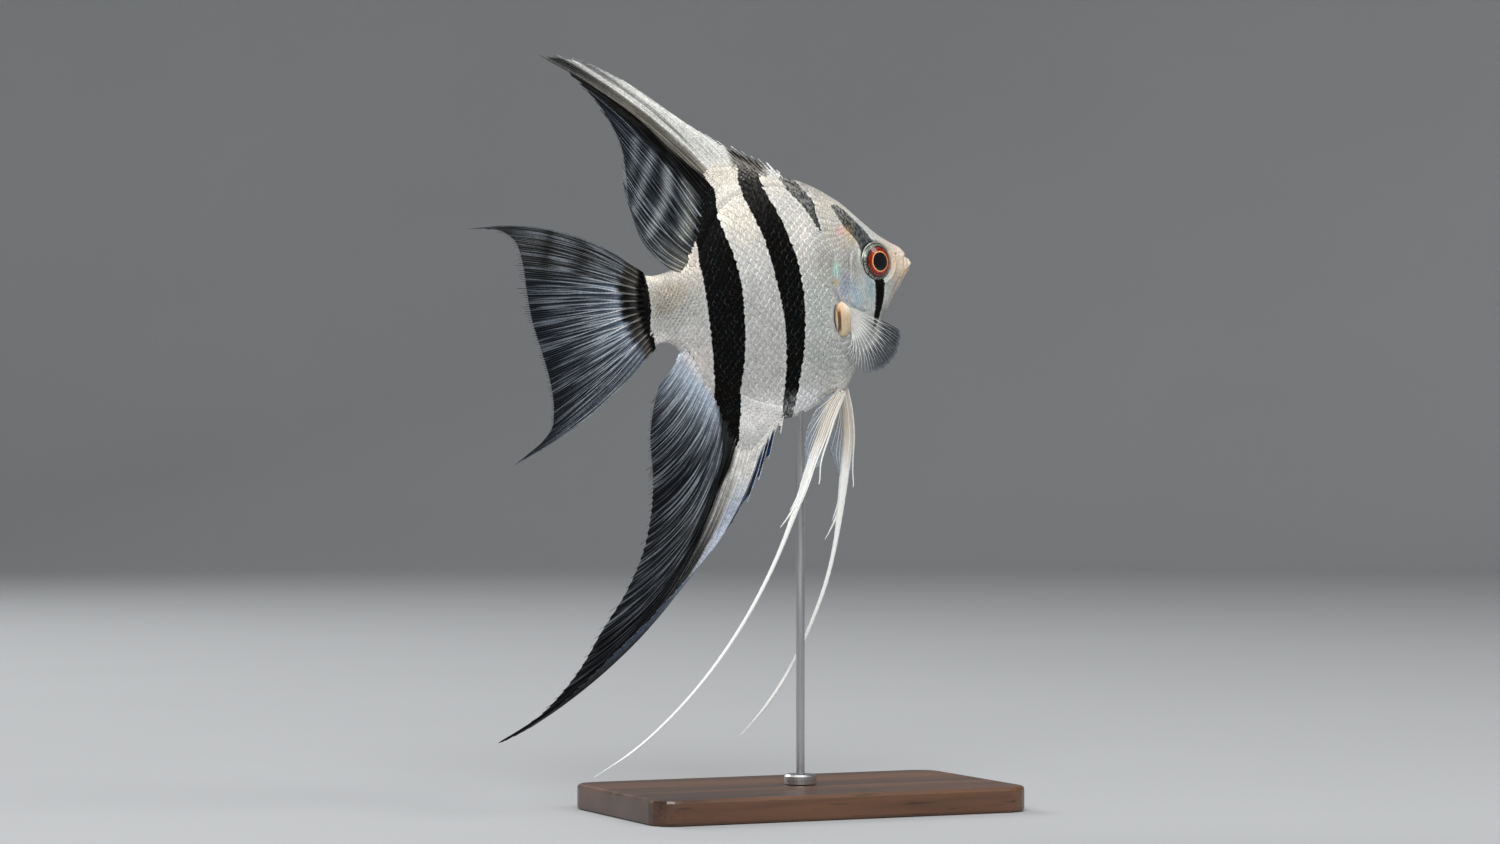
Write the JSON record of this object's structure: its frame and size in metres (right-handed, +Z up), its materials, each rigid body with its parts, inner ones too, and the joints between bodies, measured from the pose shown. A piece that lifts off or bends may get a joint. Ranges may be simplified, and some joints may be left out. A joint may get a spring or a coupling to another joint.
{
  "type": "freshwater angelfish",
  "caption": "Life-size freshwater angelfish, a still museum model with sweeping dorsal and anal fins and trailing pelvic filaments, held by a slim rod on a plain display base.",
  "frame": {"origin": "middle of the stand's underside, on the floor under the rod", "axes": "+X the way the fish faces, +Y to the fish's left, +Z up; the fish is pitched head up by 10 degrees about Y"},
  "size_m": [0.1514, 0.064, 0.2063],
  "materials": {
    "head": "satin, silvery skin of the head",
    "gill_cover": "satin, iridescent blue-green",
    "lower_jaw": "satin, pale peach",
    "trunk": "satin, silver scales with black bars",
    "tail_stalk": "satin, silver-cream scales",
    "dorsal_fin": "satin, slate with pale rays",
    "anal_fin": "satin, slate with pale rays",
    "caudal_fin": "satin, blue-grey with white rays",
    "pectoral_fin": "satin, clear with fine white rays",
    "pelvic_fin": "satin, white",
    "eye": "polished, dark red iris",
    "stand_base": "satin dark walnut",
    "stand_rod": "satin",
    "stand_collar": "satin"
  },
  "bodies": {
    "root": {"head": "head", "gill_cover_left": "gill_cover", "gill_cover_right": "gill_cover", "lower_jaw": "lower_jaw", "eye_left": "eye", "eye_right": "eye", "trunk": "trunk", "tail_stalk": "tail_stalk", "dorsal_fin": "dorsal_fin", "anal_fin": "anal_fin", "caudal_fin": "caudal_fin", "pectoral_fin_left": "pectoral_fin", "pectoral_fin_right": "pectoral_fin", "pelvic_fin_left": "pelvic_fin", "pelvic_fin_right": "pelvic_fin", "stand_base": "stand_base", "stand_rod": "stand_rod", "stand_collar": "stand_collar"}
  },
  "joints": []
}
